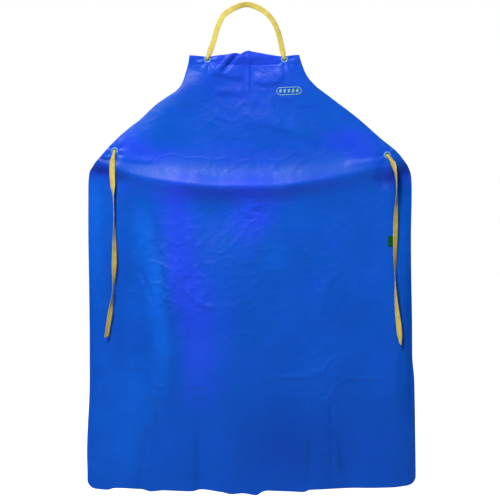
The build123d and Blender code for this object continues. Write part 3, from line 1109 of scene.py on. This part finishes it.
def make_hem():
    """The strip along the top edge that is turned back and welded down."""
    share, down = np.meshgrid(column_shares(), np.linspace(0, 1, 18))
    low_left, low_right = left_edge(HEM_LOW_Z), right_edge(HEM_LOW_Z)
    top = top_edge(low_left + (low_right - low_left) * share) - HEM_INSET
    z = top + (HEM_LOW_Z - top) * down
    left, right = left_edge(z) + HEM_INSET, right_edge(z) - HEM_INSET
    x = left + (right - left) * share
    x, z, inside = round_holes(x, z)
    y = sheet_y(x, z) + HEM_GAP
    return two_sided("top_hem_strip", x, y, z, SHEET_THICKNESS, SHEET, inside)


def make_backing(name, eyelet):
    """The round reinforcement welded behind a waist eyelet."""
    around = full_turn(72)
    radius = np.linspace(HOLE_RADIUS, BACKING_RADIUS, 7)[:, None]
    x = eyelet[0] + radius * np.cos(around)
    z = eyelet[2] + radius * np.sin(around)
    y = sheet_y(x, z) + HEM_GAP
    return two_sided(name, x, y, z, SHEET_THICKNESS, SHEET, ring=True)


def on_front(x, z, lift):
    """Y of a thin film lying on the sheet's front."""
    return sheet_y(x, z) - SHEET_THICKNESS / 2 - lift


BADGE_TILT = math.radians(1.5)
PILL_STRAIGHT, PILL_RADIUS, PILL_LINE = 47.0, 9.6, 1.7
BAR_COUNT = 5
BAR_PITCH, BAR_WIDTH, BAR_HEIGHT = 11.4, 6.2, 9.2
BAR_SLANT = 0.16


def make_badge():
    """A generic badge: a pill outline round slanted bars."""
    centre_x, _, centre_z = middle("badge")

    def film(name, u, w, ring):
        x = centre_x + u * math.cos(BADGE_TILT) - w * math.sin(BADGE_TILT)
        z = centre_z + u * math.sin(BADGE_TILT) + w * math.cos(BADGE_TILT)
        y = on_front(x, z, PRINT_THICKNESS / 2 + PRINT_GAP)
        return two_sided(name, x, y, z, PRINT_THICKNESS, INK, ring=ring)

    arc = np.linspace(-math.pi / 2, math.pi / 2, 25)
    end = np.full(len(arc), PILL_STRAIGHT / 2)
    run = np.linspace(-PILL_STRAIGHT / 2, PILL_STRAIGHT / 2, 40)[1:-1]
    centre_u = np.concatenate([end, run[::-1], -end, run])
    straight = np.full(len(run), math.pi / 2)
    angle = np.concatenate([arc, straight, arc + math.pi, -straight])
    rings = (PILL_RADIUS + PILL_LINE * np.linspace(-0.5, 0.5, 3))[:, None]
    pieces = [film("badge_outline", centre_u + rings * np.cos(angle), rings * np.sin(angle), True)]
    share, share_up = np.meshgrid(np.linspace(-0.5, 0.5, 5), np.linspace(-0.5, 0.5, 9))
    w = share_up * BAR_HEIGHT
    for k in range(BAR_COUNT):
        u = (k - (BAR_COUNT - 1) / 2) * BAR_PITCH + share * BAR_WIDTH + w * BAR_SLANT
        pieces.append(film(f"badge_bar_{k + 1}", u, w, False))
    return pieces


def make_label():
    """The small woven side label, sewn in under the edge."""
    low, high = corners_of("side_label")
    x, z = np.meshgrid(np.linspace(low[0], high[0], 14), np.linspace(high[2], low[2], 18))
    y = on_front(x, z, LABEL_THICKNESS) - 0.5 * smoothstep(-z, -high[2], -low[2])
    return two_sided("woven_side_label", x, y, z, LABEL_THICKNESS, LABEL)


sheet = make_sheet()
hem = make_hem()
# Painted highlight and painted shade are stored on the sheet and the hem, along with the crushing.
for piece in (sheet, hem):
    paint(piece, "tint_and_highlight", TINT_AND_HIGHLIGHT_PATCHES)
    paint(piece, "shade", SHADE_PATCHES)
    paint(piece, "crushed", CRUSHED_PATCHES)
backings = {
    "left": make_backing("left_waist_backing", WAIST_LEFT),
    "right": make_backing("right_waist_backing", WAIST_RIGHT),
}
badge_pieces = make_badge()
label = make_label()


# ---------------- who moves with whom
for node in [f"{name}_{kind}" for name in EYELET_NAMES for kind in ("eyelet", "ring")]:
    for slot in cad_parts[node].material_slots:
        slot.material = PLASTIC

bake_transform(sheet)
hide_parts("bib_panel", "skirt_panel")
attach(hem, "bib")
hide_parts("top_hem")
for where, backing in backings.items():
    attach(backing, "skirt")
    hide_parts(where + "_waist_patch")
for piece in badge_pieces:
    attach(piece, "bib")
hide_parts("badge")
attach(label, "skirt")
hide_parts("side_label")

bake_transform(neck_tape)
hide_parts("neck_tape")
for where in ("left", "right"):
    for piece in (knots[where + "_top"], tails[where + "_top"]):
        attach(piece, "bib")
    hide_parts(where + "_neck_knot")
for where, tie in (("left", left_tie), ("right", right_tie)):
    for piece in (tie, knots[where + "_waist"], tails[where + "_waist"]):
        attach(piece, where + "_tie")
    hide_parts(where + "_tie_tape")
    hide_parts(where + "_tie_knot")


# ---------------- floor, light and background
FLOOR_DROP = 90                 # below the apron's lowest point
FLOOR_HALF = 30000
SKY_STRENGTH = 0.07


def make_floor():
    """A plain pale floor under the hanging apron."""
    z = cad_low[2] / MM - FLOOR_DROP
    corners = [(-1, -1), (1, -1), (1, 1), (-1, 1)]
    points = [(x * FLOOR_HALF, y * FLOOR_HALF, z) for x, y in corners]
    floor = new_mesh("floor", points, [(0, 1, 2, 3)], floor_material())


def make_light(name, place, target, size, power):
    """A soft square lamp at place, facing target; size in metres and power in watts."""
    data = bpy.data.lights.new(name, "AREA")
    data.shape = "SQUARE"
    data.size = size
    data.energy = power
    lamp = put_in_scene(name, data)
    lamp.location = place
    lamp.rotation_euler = (Vector(target) - Vector(place)).to_track_quat("-Z", "Y").to_euler()


def make_world():
    """White all round as the camera sees it, and a dimmer even light on the object."""
    world = bpy.data.worlds.new("studio")
    world.use_nodes = True
    nodes, links = world.node_tree.nodes, world.node_tree.links
    back = nodes["Background"]
    seen = nodes.new("ShaderNodeBackground")
    seen.inputs["Color"].default_value = (1, 1, 1, 1)
    back.inputs["Color"].default_value = (0.95, 0.97, 1.0, 1)
    back.inputs["Strength"].default_value = SKY_STRENGTH
    path = nodes.new("ShaderNodeLightPath")
    mix = nodes.new("ShaderNodeMixShader")
    links.new(path.outputs["Is Camera Ray"], mix.inputs["Fac"])
    links.new(back.outputs["Background"], mix.inputs[1])
    links.new(seen.outputs["Background"], mix.inputs[2])
    links.new(mix.outputs["Shader"], nodes["World Output"].inputs["Surface"])
    bpy.context.scene.world = world


make_floor()
make_world()
make_light("key", (-0.80, -2.1, 1.42), (0, 0, -0.6), size=0.5, power=88)
make_light("fill", (1.2, -2.8, -0.3), (0, 0, -0.8), size=1.6, power=3)
make_light("back", (0.8, 2.4, 0.9), (0, 0, -0.6), size=1.4, power=45)
bpy.context.scene.view_settings.view_transform = "Standard"
